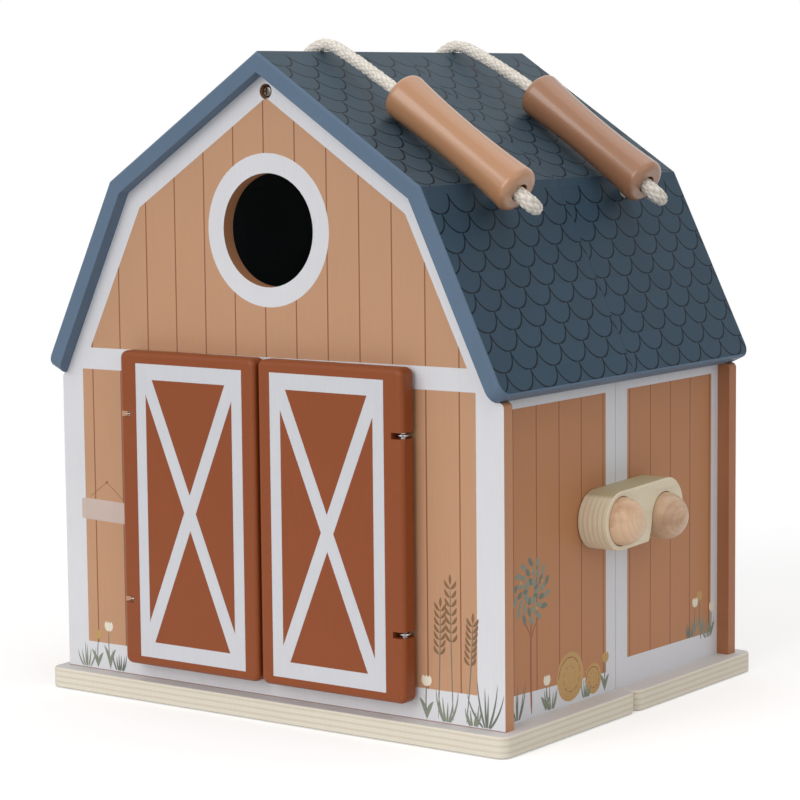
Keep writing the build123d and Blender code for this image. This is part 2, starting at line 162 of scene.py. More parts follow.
def startGroup(name, inputs, outputs):
    # inputs: (name, kind, default); kinds are Float, Vector or Color
    tree = bpy.data.node_groups.new(name, "ShaderNodeTree")
    for label, kind, default in inputs:
        socket = tree.interface.new_socket(label, in_out="INPUT", socket_type=f"NodeSocket{kind}")
        socket.default_value = default
    for label, kind in outputs:
        tree.interface.new_socket(label, in_out="OUTPUT", socket_type=f"NodeSocket{kind}")
    entry = tree.nodes.new("NodeGroupInput")
    leave = tree.nodes.new("NodeGroupOutput")
    return tree, entry, leave


def useGroup(tree, group, **inputs):
    node = tree.nodes.new("ShaderNodeGroup")
    node.node_tree = group
    for name, value in inputs.items():
        feed(tree, node.inputs[name], value)
    return node


def mixColours(tree, amount, first, second):
    node = tree.nodes.new("ShaderNodeMix")
    node.data_type = "RGBA"
    for index, value in ((0, amount), (6, first), (7, second)):
        feed(tree, node.inputs[index], value)
    return node.outputs[2]


def makePaintFilm():
    # paint over sanded plywood: cloudy tone, long faint grain, roller stipple
    tree, entry, leave = startGroup("paintFilm", [
        ("Vector", "Vector", (0, 0, 0)), ("Colour", "Color", (1, 1, 1, 1)), ("Cloud", "Float", 0.05),
        ("Grain", "Float", 0.04), ("Gloss", "Float", 0.5)],
        [("Colour", "Color"), ("Roughness", "Float"), ("Height", "Float")])
    vector = entry.outputs["Vector"]
    cloud = noise(tree, vector, 0.02, 3.0, 0.55)
    grain = noise(tree, stretch(tree, vector, (1.0, 1.0, 0.05)), 0.9, 4.0, 0.6)
    stipple = noise(tree, vector, 2.2, 2.0)
    cloudiness, graininess, gloss = (Field(tree, entry.outputs[k]) for k in ("Cloud", "Grain", "Gloss"))
    tone = ((cloud - 0.5) * cloudiness + (grain - 0.5) * graininess) * 2.0 + 1.0
    shade = addNode(tree, "ShaderNodeVectorMath", {0: entry.outputs["Colour"], "Scale": tone},
                    operation="SCALE")
    feed(tree, leave.inputs["Colour"], shade.outputs[0])
    feed(tree, leave.inputs["Roughness"], gloss + (cloud - 0.5) * 0.12 + (stipple - 0.5) * 0.10)
    feed(tree, leave.inputs["Height"], stipple * 0.6 + grain * 0.4)
    return tree


def makePlankLines():
    # thin lines every pitch along one direction, in mm; 1 on a line
    tree, entry, leave = startGroup("plankLines", [
        ("Across", "Float", 0.0), ("Phase", "Float", 0.0), ("Pitch", "Float", 20.0),
        ("Width", "Float", 0.6)], [("Line", "Float")])
    across, phase, pitch, width = (Field(tree, entry.outputs[i]) for i in range(4))
    turn = (across - phase) / pitch + 0.5
    away = (turn.calc("FRACT") - 0.5).size() * pitch
    feed(tree, leave.inputs["Line"], (width * 0.5 - away).ramp(0.22))
    return tree


def makePlyLayers():
    # glued veneers seen on a cut edge: alternating pale and darker layers with a fine broken grain
    tree, entry, leave = startGroup("plyLayers", [
        ("Vector", "Vector", (0, 0, 0)), ("Across", "Float", 0.0), ("Layer", "Float", 1.5),
        ("Pale", "Color", (0.7, 0.6, 0.45, 1)), ("Dark", "Color", (0.5, 0.4, 0.28, 1)),
        ("Contrast", "Float", 1.0)], [("Colour", "Color"), ("Height", "Float")])
    vector = entry.outputs["Vector"]
    wobble = noise(tree, vector, 0.06, 2.0)
    fine = noise(tree, vector, 1.6, 5.0, 0.65)
    across, layer, contrast = (Field(tree, entry.outputs[k]) for k in ("Across", "Layer", "Contrast"))
    phase = (across + (wobble - 0.5) * 0.5) / layer
    crossLayer = (((phase * 0.5).calc("FRACT") - 0.5).size() - 0.25).ramp(0.06)
    glue = ((phase.calc("FRACT") - 0.5).size() * -1.0 + 0.5) * layer      # distance to a glue line
    glueLine = (glue * -1.0 + 0.10).ramp(0.10)
    layers = (crossLayer * 0.55 + glueLine * 0.55) * contrast
    dark = (layers + (fine - 0.5) * 0.7).clip()
    feed(tree, leave.inputs["Colour"], mixColours(tree, dark, entry.outputs["Pale"], entry.outputs["Dark"]))
    feed(tree, leave.inputs["Height"], fine * 0.7 - crossLayer * 0.4)
    return tree


def makeWoodGrain():
    # growth rings cut along their length, pores and a slow change of tone
    tree, entry, leave = startGroup("woodGrain", [
        ("Vector", "Vector", (0, 0, 0)), ("Pale", "Color", (0.6, 0.4, 0.25, 1)),
        ("Dark", "Color", (0.4, 0.25, 0.15, 1)), ("Ring", "Float", 2.5), ("Strength", "Float", 0.5),
        ("Pith", "Float", 8.0), ("Warp", "Float", 9.0)],
        [("Colour", "Color"), ("Roughness", "Float"), ("Height", "Float")])
    vector = entry.outputs["Vector"]
    split = addNode(tree, "ShaderNodeSeparateXYZ", {0: vector})
    x, y = (Field(tree, split.outputs[i]) for i in range(2))
    width, strength, pith, warp = (Field(tree, entry.outputs[k])
                                   for k in ("Ring", "Strength", "Pith", "Warp"))
    bent = (noise(tree, vector, 0.05, 3.0) - 0.5) * warp
    # pith is how far the rings' middle lies off the piece's axis
    radius = ((x + pith) * (x + pith) + (y - pith * 0.6) * (y - pith * 0.6)).calc("SQRT") + bent
    late = (radius / width).calc("FRACT").calc("POWER", 3.0)
    pores = noise(tree, stretch(tree, vector, (1.0, 1.0, 0.08)), 2.4, 4.0, 0.7)
    dark = ((late * 0.6 + (pores - 0.45) * 0.9) * strength).clip()
    feed(tree, leave.inputs["Colour"], mixColours(tree, dark, entry.outputs["Pale"], entry.outputs["Dark"]))
    feed(tree, leave.inputs["Roughness"], pores * 0.16 + 0.34)
    feed(tree, leave.inputs["Height"], pores - late * 0.3)
    return tree


def makeScallopRows():
    # rows of round-ended shingles: a point is on row k while it lies above row k's arcs,
    # arc depth = pitch * sqrt(1 - (distance from the shingle's middle / half width)^2)
    tree, entry, leave = startGroup("scallopRows", [
        ("Along", "Float", 0.0), ("Down", "Float", 0.0), ("Width", "Float", 22.0), ("Pitch", "Float", 10.5),
        ("Line", "Float", 0.7)], [("Line", "Float"), ("Tone", "Float")])
    along, down, width, pitch, line = (Field(tree, entry.outputs[i]) for i in range(5))
    row = (down / pitch).calc("FLOOR")
    into = down - row * pitch
    odd = (row * 0.5).calc("FRACT")
    shifted = along / width + odd
    cell = shifted.calc("FLOOR")
    across = (shifted - cell - 0.5) * 2.0      # -1 to 1 over one shingle
    # distance to the arc: a circle in the space where the shingle is as deep as half its width
    reach = (across * across + (into / pitch) * (into / pitch)).calc("SQRT")
    away = (reach - 1.0).size() * pitch
    # the arcs' points also carry the row line above, which ends on the same arcs
    feed(tree, leave.inputs["Line"], (line * 0.5 - away).ramp(0.3))
    # each shingle's own tone: a sine of its place, scattered by three large numbers
    inside = (reach * -1.0 + 1.0).ramp(0.02)
    key = cell * 12.9898 + (row + inside) * 78.233
    feed(tree, leave.inputs["Tone"], (key.calc("SINE") * 43758.5453).calc("FRACT"))
    return tree


groups = {"film": makePaintFilm(), "planks": makePlankLines(), "ply": makePlyLayers(),
          "grain": makeWoodGrain(), "scallops": makeScallopRows()}
print("shared finishes built")


colours = {
    "tan": tint(187, 142, 108), "tanLine": tint(124, 66, 36), "tanEdge": tint(184, 130, 92),
    "sideTan": tint(179, 122, 80), "backEdge": tint(164, 106, 70),
    "white": tint(214, 214, 218), "doorWhite": tint(204, 205, 210), "rust": tint(137, 69, 31),
    "slate": tint(56, 77, 93), "slateTop": tint(62, 80, 93), "slateLine": tint(6, 16, 26),
    "slateEdge": tint(98, 117, 138),
    "rawPale": tint(222, 205, 176), "rawDark": tint(180, 150, 112),
    "basePale": tint(222, 215, 200), "baseDark": tint(203, 191, 170), "baseTop": tint(208, 204, 202),
    "latchPale": tint(228, 216, 190), "latchDark": tint(202, 185, 154), "latchTop": tint(168, 156, 117),
    "pegPale": tint(224, 190, 156), "pegDark": tint(186, 136, 98),
    "backPegPale": tint(204, 170, 139), "backPegDark": tint(154, 108, 76),
    "handlePale": tint(184, 134, 96), "handleDark": tint(164, 112, 76),
    "backHandlePale": tint(162, 114, 82), "backHandleDark": tint(144, 96, 66),
    "ropePale": tint(252, 246, 236), "ropeDark": tint(180, 165, 148),
    "steel": tint(196, 196, 198), "burnished": tint(112, 102, 96), "brass": tint(206, 176, 112),
}


def newMaterial(name):
    material = bpy.data.materials.new(name)
    material.use_nodes = True
    tree = material.node_tree
    tree.nodes.clear()
    output = tree.nodes.new("ShaderNodeOutputMaterial")
    surface = tree.nodes.new("ShaderNodeBsdfPrincipled")
    tree.links.new(surface.outputs[0], output.inputs["Surface"])
    place = tree.nodes.new("ShaderNodeTexCoord")
    scaled = addNode(tree, "ShaderNodeVectorMath", {0: place.outputs["Object"], "Scale": 1000.0},
                     operation="SCALE")
    split = addNode(tree, "ShaderNodeSeparateXYZ", {0: scaled.outputs[0]})
    facing = addNode(tree, "ShaderNodeSeparateXYZ", {0: place.outputs["Normal"]})
    parts = {"material": material, "tree": tree, "surface": surface, "vector": scaled.outputs[0]}
    parts.update({axis: Field(tree, split.outputs[i]) for i, axis in enumerate("xyz")})
    parts.update({"n" + axis: Field(tree, facing.outputs[i]) for i, axis in enumerate("xyz")})
    return parts, tree


def setInputs(m, colour, roughness, height, bump, distance, **plain):
    tree, surface = m["tree"], m["surface"]
    raised = addNode(tree, "ShaderNodeBump", {"Strength": bump, "Distance": distance, "Height": height})
    values = {"Base Color": colour, "Roughness": roughness, "Normal": raised.outputs[0], **plain}
    for name, value in values.items():
        feed(tree, surface.inputs[name], value)
    return m["material"]


def paintedFinish(m, colour, gloss, lines=None, cloud=0.05, grain=0.05, bump=0.12):
    # gloss is the roughness; lines are pressed in; cloud and grain are shares of the tone
    film = useGroup(m["tree"], groups["film"], Vector=m["vector"], Colour=colour, Cloud=cloud,
                    Grain=grain, Gloss=gloss)
    height = Field(m["tree"], film.outputs["Height"]) * 0.25
    if lines is not None:
        height = height - lines
    return setInputs(m, film.outputs["Colour"], film.outputs["Roughness"], height, bump, 0.0003)


def edgeWobble(m, amount=0.25):
    # the small raggedness of a masked paint edge, in mm
    return (noise(m["tree"], m["vector"], 0.8, 3.0) - 0.5) * amount


def rawPlyColour(m, across, layer=1.5, pale="rawPale", dark="rawDark", contrast=1.0):
    # a cut edge's veneers, stacked in the direction across, each layer mm thick
    ply = useGroup(m["tree"], groups["ply"], Vector=m["vector"], Across=across, Layer=layer,
                   Pale=colours[pale], Dark=colours[dark], Contrast=contrast)
    return ply.outputs["Colour"]


gablePaint = {
    "skew": 0.006, "bandLow": 176.2, "bandHigh": 187.8, "fieldHalf": 128.5, "fieldMiddle": -0.9,
    "fieldLow": 26.8, "apex": 319.9, "upperFall": 0.6605, "cornerX": 86.3, "cornerZ": 262.9,
    "lowerFall": 2.044, "ringRadius": 39.2, "plankPhase": -2.1, "plankPitch": 20.0, "plankWidth": 0.75,
    "foot": 11.45,
}


def makeGablePaint(name, front):
    (m, tree), v = newMaterial(name), gablePaint
    wobble = edgeWobble(m)
    x, z = m["x"], m["z"] + wobble
    outward = (m["ny"] * (-1.0 if front else 1.0) - 0.9).ramp(0.05)
    flank = (m["ny"].size() * -1.0 + 0.9).ramp(0.05)
    level = z - m["x"] * v["skew"]
    reach = (x + wobble).size()
    under = (level * -1.0 + v["bandLow"]).ramp()
    above = (level - v["bandHigh"]).ramp()
    lower = under * (level - v["fieldLow"]).ramp() * (
        ((x - v["fieldMiddle"]).size() + wobble) * -1.0 + v["fieldHalf"]).ramp()
    upperSlope = (reach * -v["upperFall"] - z + v["apex"]).ramp()
    lowerSlope = ((reach - v["cornerX"]) * -v["lowerFall"] - z + v["cornerZ"]).ramp(0.5)
    upper = above * upperSlope * lowerSlope
    if front:
        fromWindow = z - barn["windowHeight"]
        radius = (x * x + fromWindow * fromWindow).calc("SQRT") + wobble
        upper = upper * (radius - v["ringRadius"]).ramp()
    field = lower + upper
    planks = useGroup(tree, groups["planks"], Across=x, Phase=v["plankPhase"], Pitch=v["plankPitch"],
                      Width=v["plankWidth"])
    line = Field(tree, planks.outputs["Line"]) * field * outward
    printed = mixColours(tree, field, colours["white"], colours["tan"])
    printed = mixColours(tree, line * 0.9, printed, colours["tanLine"])
    foot = (m["z"] * -1.0 + v["foot"]).ramp(0.3) * 0.8      # painted shade: a dark band along the gable's foot, for the shadowed joint and bare edge where it meets the base
    printed = mixColours(tree, foot, printed, colours["tanLine"])
    overhang = (m["x"].size() - barn["sideFace"]).ramp(0.4)      # the strip proud of the side wall
    # the back gable's edges take a darker copy of the edge paint: painted shade
    edge = colours["tanEdge" if front else "backEdge"]
    inner = mixColours(tree, overhang, rawPlyColour(m, m["y"]), edge)
    colour = mixColours(tree, flank, mixColours(tree, outward, inner, printed), edge)
    return paintedFinish(m, colour, 0.55, line)


sidePaint = {
    "top": 167.6, "seamStrip": 9.6, "backSeamStrip": 11.6, "gableStrip": 99.8, "frontLow": 24.9,
    "frontFrom": 96.0, "frontFall": 0.041, "backLow": 25.6, "backFrom": 12.0, "backFall": 0.014,
    "plankPitch": 20.85, "frontPhase": -12.3, "backPhase": 14.2, "plankWidth": 0.75,
}


def makeSidePaint(name, front):
    (m, tree), v = newMaterial(name), sidePaint
    wobble = edgeWobble(m)
    y, z = m["y"].size() + wobble, m["z"] + wobble
    outward = (m["nx"] * m["x"].calc("SIGN") - 0.9).ramp(0.05)
    seam = v["seamStrip"] if front else v["backSeamStrip"]
    if front:
        low = (y * -1.0 + v["frontFrom"]) * -v["frontFall"] + v["frontLow"]
    else:
        low = (y - v["backFrom"]) * -v["backFall"] + v["backLow"]
    field = (y - seam).ramp() * (y * -1.0 + v["gableStrip"]).ramp() * (
        z * -1.0 + v["top"]).ramp() * (z - low).ramp()
    planks = useGroup(tree, groups["planks"], Across=m["y"], Pitch=v["plankPitch"],
                      Phase=v["frontPhase"] if front else v["backPhase"], Width=v["plankWidth"])
    line = Field(tree, planks.outputs["Line"]) * field * outward
    printed = mixColours(tree, field, colours["white"], colours["sideTan"])
    printed = mixColours(tree, line * 0.9, printed, colours["tanLine"])
    colour = mixColours(tree, outward, rawPlyColour(m, m["x"]), printed)
    return paintedFinish(m, colour, 0.55, line)


upperAngle = math.atan2(barn["ridgeHeight"] - barn["breakHeight"], barn["breakHalfWidth"])
roofPaint = {"width": 22.0, "pitch": 10.5, "line": 0.95, "upperStart": 4.0, "lowerStart": 4.6,
             "frontPhase": 13.5, "backPhase": 4.0, "tone": 0.10}


def makeRoofPaint(name, lowerSlope, front):
    (m, tree), v = newMaterial(name), roofPaint
    lowerAngle = math.atan2(barn["breakHeight"] - barn["eaveHeight"],
                            barn["eaveHalfWidth"] - barn["breakHalfWidth"])
    angle = lowerAngle if lowerSlope else upperAngle
    startX = barn["breakHalfWidth"] if lowerSlope else 0.0
    startZ = barn["breakHeight"] if lowerSlope else barn["ridgeHeight"]
    down = (m["x"].size() - startX) * math.cos(angle) + (m["z"] * -1.0 + startZ) * math.sin(angle)
    start = v["lowerStart"] if lowerSlope else v["upperStart"]
    outward = ((m["nx"].size() * math.sin(angle) + m["nz"] * math.cos(angle)) - 0.97).ramp(0.02)
    phase = v["frontPhase"] if front else v["backPhase"]
    rows = useGroup(tree, groups["scallops"], Along=m["y"] + phase, Down=down - start,
                    Width=v["width"], Pitch=v["pitch"], Line=v["line"])
    below = (down - start).ramp(0.4)
    line = Field(tree, rows.outputs["Line"]) * outward * below
    tone = (Field(tree, rows.outputs["Tone"]) - 0.5) * v["tone"] + 1.0
    # the upper slope takes a lighter copy of the slate: painted light on the upper roof
    slate = colours["slate" if lowerSlope else "slateTop"][:3]
    shaded = addNode(tree, "ShaderNodeVectorMath", {0: slate, "Scale": tone}, operation="SCALE")
    face = mixColours(tree, line * 0.95, shaded.outputs[0], colours["slateLine"])
    colour = mixColours(tree, outward, colours["slateEdge"], face)
    m["surface"].inputs["Specular IOR Level"].default_value = 0.08
    return paintedFinish(m, colour, 0.42, cloud=0.10, grain=0.03, bump=0.10)


doorPaint = {"outerLow": 9.2, "outerHigh": 80.8, "bottom": 25.4, "top": 181.8, "stile": 6.7, "rail": 8.3,
             "brace": 7.2, "middle": 45.0, "leftCross": 104.9, "rightCross": 102.4}


def makeDoorPaint(name, left):
    (m, tree), v = newMaterial(name), doorPaint
    wobble = edgeWobble(m, 0.2)
    x, z = m["x"].size() + wobble, m["z"] + wobble
    outward = (m["ny"] * -1.0 - 0.93).ramp(0.05)
    middleX, halfX = (v["outerLow"] + v["outerHigh"]) / 2, (v["outerHigh"] - v["outerLow"]) / 2
    middleZ, halfZ = (v["bottom"] + v["top"]) / 2, (v["top"] - v["bottom"]) / 2
    awayX, awayZ = (x - middleX).size(), (z - middleZ).size()
    outer = (awayX * -1.0 + halfX).ramp() * (awayZ * -1.0 + halfZ).ramp()
    runX, runZ = halfX - v["stile"], halfZ - v["rail"]
    inner = (awayX * -1.0 + runX).ramp() * (awayZ * -1.0 + runZ).ramp()
    length = math.hypot(runX, runZ)
    cross = v["leftCross"] if left else v["rightCross"]
    one, two = (x - v["middle"]) * (runZ / length), (z - cross) * (runX / length)
    braces = ((one - two).size().least((one + two).size()) * -1.0 + v["brace"] / 2).ramp()
    white = outer * (inner * -1.0 + 1.0 + inner * braces) * outward
    colour = mixColours(tree, white, colours["rust"], colours["doorWhite"])
    m["surface"].inputs["Specular IOR Level"].default_value = 0.3
    return paintedFinish(m, colour, 0.40, bump=0.10)


def makeBasePly(name):
    m, tree = newMaterial(name)
    top = (m["nz"].size() - 0.9).ramp(0.05)
    edge = rawPlyColour(m, m["z"], 1.57, "basePale", "baseDark")
    grain = useGroup(tree, groups["grain"], Vector=m["vector"], Pale=colours["baseTop"],
                     Dark=colours["baseDark"], Ring=9.0, Strength=0.12)
    colour = mixColours(tree, top, edge, grain.outputs["Colour"])
    return paintedFinish(m, colour, 0.6, cloud=0.04, bump=0.15)


def makeRawPly(name, axis):
    m, tree = newMaterial(name)
    flat = (m["n" + axis].size() - 0.9).ramp(0.05)
    grain = useGroup(tree, groups["grain"], Vector=m["vector"], Pale=colours["rawPale"],
                     Dark=colours["rawDark"], Ring=11.0, Strength=0.35)
    colour = mixColours(tree, flat, rawPlyColour(m, m[axis]), grain.outputs["Colour"])
    return paintedFinish(m, colour, 0.62, grain=0.08, bump=0.2)


latchBack = 137.2      # mm, where the latch's first veneer starts


def makeLatchPly(name):
    m, tree = newMaterial(name)
    flat = (m["nx"].size() - 0.9).ramp(0.08)
    lying = (math.radians(90), 0, 0)
    turned = addNode(tree, "ShaderNodeMapping", {"Vector": m["vector"], "Rotation": lying})
    grain = useGroup(tree, groups["grain"], Vector=turned.outputs[0], Pale=colours["latchPale"],
                     Dark=colours["latchDark"], Ring=7.0, Strength=0.3)
    # layers show on the round ends and fade along the straight top, which is cut with the grain
    ends = ((m["ny"].size() - 0.25) * 1.4).most(0.12).least(0.9)
    edge = rawPlyColour(m, m["x"] - latchBack, 1.42, "latchPale", "latchDark", ends)
    # painted shade: the latch block's upward faces are mixed towards a darker colour
    edge = mixColours(tree, (m["nz"] - 0.85).ramp(0.1) * 0.8, edge, colours["latchTop"])
    colour = mixColours(tree, flat, edge, grain.outputs["Colour"])
    return paintedFinish(m, colour, 0.58, grain=0.06, bump=0.18)


def alongAxis(m, centre, turn):
    # a turned piece's own axis becomes Z
    moved = addNode(m["tree"], "ShaderNodeVectorMath", {0: m["vector"], 1: centre}, operation="SUBTRACT")
    return addNode(m["tree"], "ShaderNodeMapping", {"Vector": moved.outputs[0], "Rotation": turn}).outputs[0]


def makePegWood(name, wood, centre, turn, ring, pith):
    # clear-lacquered turned peg: end grain rings round its tip and reddish flecks
    m, tree = newMaterial(name)
    grain = useGroup(tree, groups["grain"], Vector=alongAxis(m, centre, turn), Pale=colours[wood + "Pale"],
                     Dark=colours[wood + "Dark"], Ring=ring, Strength=0.42, Pith=pith, Warp=1.5)
    blotch = noise(tree, m["vector"], 0.075, 4.0, Distortion=0.4)
    fleck = ((blotch - 0.47) * 2.6).most(0.0).least(0.6)
    colour = mixColours(tree, fleck, grain.outputs["Colour"], colours[wood + "Dark"])
    return setInputs(m, colour, grain.outputs["Roughness"], grain.outputs["Height"], 0.04, 0.0002,
                     **{"Coat Weight": 0.25, "Coat Roughness": 0.28})


def makeHandlePaint(name, paint, centre, turn):
    # satin paint on a turned handle: faint lathe rings and grain that shows through
    m, tree = newMaterial(name)
    grain = useGroup(tree, groups["grain"], Vector=alongAxis(m, centre, turn), Pale=colours[paint + "Pale"],
                     Dark=colours[paint + "Dark"], Ring=5.0, Strength=0.10, Pith=9.0, Warp=5.0)
    orangePeel = noise(tree, m["vector"], 1.1, 3.0)
    return setInputs(m, grain.outputs["Colour"], orangePeel * 0.14 + 0.29, orangePeel, 0.10, 0.0002,
                     **{"Coat Weight": 0.55, "Coat Roughness": 0.16})


def makeMetal(name, colour, roughness):
    m, tree = newMaterial(name)
    smudge = noise(tree, m["vector"], 0.6, 3.0)
    fine = noise(tree, m["vector"], 9.0, 2.0)
    tarnished = (*(0.4 * c for c in colours[colour][:3]), 1.0)
    tone = mixColours(tree, (smudge - 0.4).clip() * 0.5, colours[colour], tarnished)
    return setInputs(m, tone, smudge * 0.2 + (roughness - 0.1), fine, 0.05, 0.0001, Metallic=1.0)


# where each turned piece's axis passes, in mm, and the turn that lays that axis on Z
handleTurn = -math.pi / 2 - upperAngle
turnedPieces = {
    "frontPeg": {"centre": (129.2, -22.0, 104.0), "turn": (0, math.radians(96), 0), "ring": 2.1, "pith": 2.2},
    "backPeg": {"centre": (131.2, 20.4, 101.2), "turn": (0, math.radians(84), 0), "ring": 2.4, "pith": -2.6},
    "frontHandle": {"centre": (55.8, -74.9, 321.4), "turn": (0, handleTurn, 0)},
    "backHandle": {"centre": (55.8, 49.6, 321.4), "turn": (0, handleTurn, 0)},
}
finishes = {
    "front_gable": makeGablePaint("frontGablePaint", True),
    "back_gable": makeGablePaint("backGablePaint", False),
    # the gable screw's chrome head gets a darkened steel colour: painted dark reflection
    "burnished": makeMetal("burnishedSteel", "burnished", 0.24),
    "steel": makeMetal("zincSteel", "steel", 0.32), "brass": makeMetal("satinBrass", "brass", 0.35),
    "rawPly": makeRawPly("rawPly", "z"), "beam": makeRawPly("battenWood", "y"),
    "pads": makeRawPly("hingePadPly", "x"), "base": makeBasePly("basePly"),
    "latch": makeLatchPly("latchPly"),
    "frontPeg": makePegWood("frontPegWood", "peg", **turnedPieces["frontPeg"]),
    "backPeg": makePegWood("backPegWood", "backPeg", **turnedPieces["backPeg"]),
    "frontHandle": makeHandlePaint("frontHandlePaint", "handle", **turnedPieces["frontHandle"]),
    "backHandle": makeHandlePaint("backHandlePaint", "backHandle", **turnedPieces["backHandle"]),
}
for side in ("front", "back"):
    finishes[side + "_side"] = makeSidePaint(side + "SidePaint", side == "front")
    for slope in ("upper", "lower"):
        name = f"{side}Roof{slope.title()}Paint"
        finishes[f"{side}_roof_{slope}"] = makeRoofPaint(name, slope == "lower", side == "front")
for hand in ("left", "right"):
    finishes["door_" + hand] = makeDoorPaint(hand + "DoorPaint", hand == "left")


def finishOf(node):
    words = node.split("_")
    if "gable_screw" in node:
        return finishes["burnished"]
    if "screw" in node or "pins" in node:
        return finishes["steel"]
    if "hinge_leaves" in node:
        return finishes["brass"]
    if "latch_peg" in node or node.endswith("_handle"):
        return finishes[words[0] + ("Peg" if "peg" in node else "Handle")]
    if "_side_" in node:
        return finishes[words[0] + "_side"]
    if "_roof_" in node:
        return finishes["_".join(words[:3])]
    for ending, key in (("_base", "base"), ("loft_floor", "rawPly"), ("ridge_beam", "beam"),
                        ("hinge_pads", "pads"), ("latch_block", "latch")):
        if node.endswith(ending):
            return finishes[key]
    return finishes.get(node)


for node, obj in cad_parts.items():
    finish = finishOf(node)
    if finish is not None:
        obj.data.materials.clear()
        obj.data.materials.append(finish)
print("solids finished:", len(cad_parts))


def addMesh(name, points, faces, material, merge=0.0):
    mesh = bpy.data.meshes.new(name)
    mesh.from_pydata(points, [], faces)
    if merge:
        work = bmesh.new()
        work.from_mesh(mesh)
        bmesh.ops.remove_doubles(work, verts=work.verts, dist=merge)
        bmesh.ops.recalc_face_normals(work, faces=work.faces)
        work.to_mesh(mesh)
        work.free()
    mesh.polygons.foreach_set("use_smooth", np.full(len(mesh.polygons), True))
    mesh.materials.append(material)
    mesh.update()
    obj = bpy.data.objects.new(name, mesh)
    bpy.context.collection.objects.link(obj)
    return obj


def gridFaces(rows, columns, wrap=True, wrapRows=False):
    # quads between a grid's rows; wrap joins the last column to the first, wrapRows the last row
    row = np.arange(rows if wrapRows else rows - 1)[:, None]
    column = np.arange(columns if wrap else columns - 1)[None, :]
    here, below = row * columns, (row + 1) % rows * columns
    right = (column + 1) % columns
    return np.stack([here + column, here + right, below + right, below + column], -1).reshape(-1, 4)


def centreline(route):
    # the smooth line that a NURBS spline draws through the route's control points
    curve = bpy.data.curves.new("route", "CURVE")
    curve.dimensions = "3D"
    curve.resolution_u = 16
    spline = curve.splines.new("NURBS")
    spline.points.add(len(route) - 1)
    values = np.ones((len(route), 4))
    values[:, :3] = np.array(route) * mm
    spline.points.foreach_set("co", values.ravel())
    spline.order_u = 3
    spline.use_endpoint_u = True
    holder = bpy.data.objects.new("route", curve)
    bpy.context.collection.objects.link(holder)
    line = bpy.data.meshes.new_from_object(holder.evaluated_get(bpy.context.evaluated_depsgraph_get()))
    points = np.empty(len(line.vertices) * 3)
    line.vertices.foreach_get("co", points)
    bpy.data.objects.remove(holder)
    bpy.data.meshes.remove(line)
    bpy.data.curves.remove(curve)
    return points.reshape(-1, 3)


def resample(points, count):
    # the same line at even steps of its length
    steps = np.r_[0, np.cumsum(np.linalg.norm(np.diff(points, axis=0), axis=1))]
    at = np.linspace(0, steps[-1], count)
    return np.stack([np.interp(at, steps, points[:, i]) for i in range(3)], 1), at


def sideAndUp(points):
    # two normals along a line, turning as little as they can
    tangent = np.gradient(points, axis=0)
    tangent /= np.linalg.norm(tangent, axis=1)[:, None]
    side = np.empty_like(points)
    side[0] = np.cross(tangent[0], (0, 1, 0.3))
    side[0] /= np.linalg.norm(side[0])
    for i in range(1, len(points)):
        s = side[i - 1] - tangent[i] * (side[i - 1] @ tangent[i])
        side[i] = s / np.linalg.norm(s)
    return side, np.cross(tangent, side)


# lengths in mm; lay is one strand's turn along the rope, bulge the share by which the last bend opens
rope = {"diameter": 7.0, "strands": 7, "lay": 4.6, "relief": 0.17, "around": 56, "step": 0.42, "seed": 5,
        "bulge": 0.26, "bulgeReach": 9.0, "pathPoints": 120,
        "x": [-89.7, -99.7, -110, -110.2, -96.4, -80.9, -62.3, -44, -26.7, -13.9, -4, 5.5, 17.4, 31.4,
              44.9, 58.7, 74.7, 91.4, 107.9, 122.7, 134.5, 135.2, 126.2, 113.1, 101.5, 89.7],
        "z": [260.1, 264.7, 269.9, 278.4, 286, 295.2, 307, 319.2, 331.1, 339.1, 346.5, 346.9, 341.5,
              334.6, 327.7, 319.6, 309.3, 298.3, 287, 276.7, 268.3, 264, 265.3, 271.4, 265.6, 260.1],
        "frontY": [-60, -60, -60, -60, -60.7, -61.6, -62.7, -63.8, -64.8, -65.6, -66, -66.5, -68.8,
              -71.4, -74.3, -74.9, -75.6, -76.3, -77, -77.7, -78.2, -70.4, -62.5, -60, -60, -60],
        "backY": [60, 60, 60, 60, 59.2, 58.2, 57.1, 55.9, 54.8, 54, 53.5, 53.3, 52.9, 52.1, 50.6, 49.4,
              48, 46.5, 45, 43.6, 42.8, 50.1, 57.6, 60, 60, 60]}


def makeRopeMaterial(name):
    m, tree = newMaterial(name)
    relief = addNode(tree, "ShaderNodeAttribute", attribute_name="relief")
    uv = addNode(tree, "ShaderNodeUVMap", uv_map="strand")
    fibres = noise(tree, stretch(tree, uv.outputs[0], (26.0, 3.0, 1.0)), 1.0, 4.0, 0.7)
    fluff = noise(tree, m["vector"], 2.6, 5.0, 0.75)
    # painted shade: the braid's sunken parts darken towards the dark cotton colour, its crests stay pale
    raised = Field(tree, relief.outputs["Fac"]) * 0.66
    amount = (raised + (fibres - 0.5) * 0.9 + (fluff - 0.5) * 1.4 + 0.28).clip()
    colour = mixColours(tree, amount, colours["ropeDark"], colours["ropePale"])
    return setInputs(m, colour, 0.9, fibres * 0.7 + fluff * 0.5, 0.5, 0.0004,
                     **{"Sheen Weight": 0.25, "Sheen Roughness": 0.5})


def layStrands(mesh, relief, strandOf):
    # what the rope's material reads: each point's height in the braid, each corner's place on its strand
    layer = mesh.attributes.new("relief", "FLOAT", "POINT")
    layer.data.foreach_set("value", relief)
    corners = np.empty(len(mesh.loops), dtype=np.int64)
    mesh.loops.foreach_get("vertex_index", corners)
    layer = mesh.uv_layers.new(name="strand")
    layer.data.foreach_set("uv", strandOf(corners).ravel())


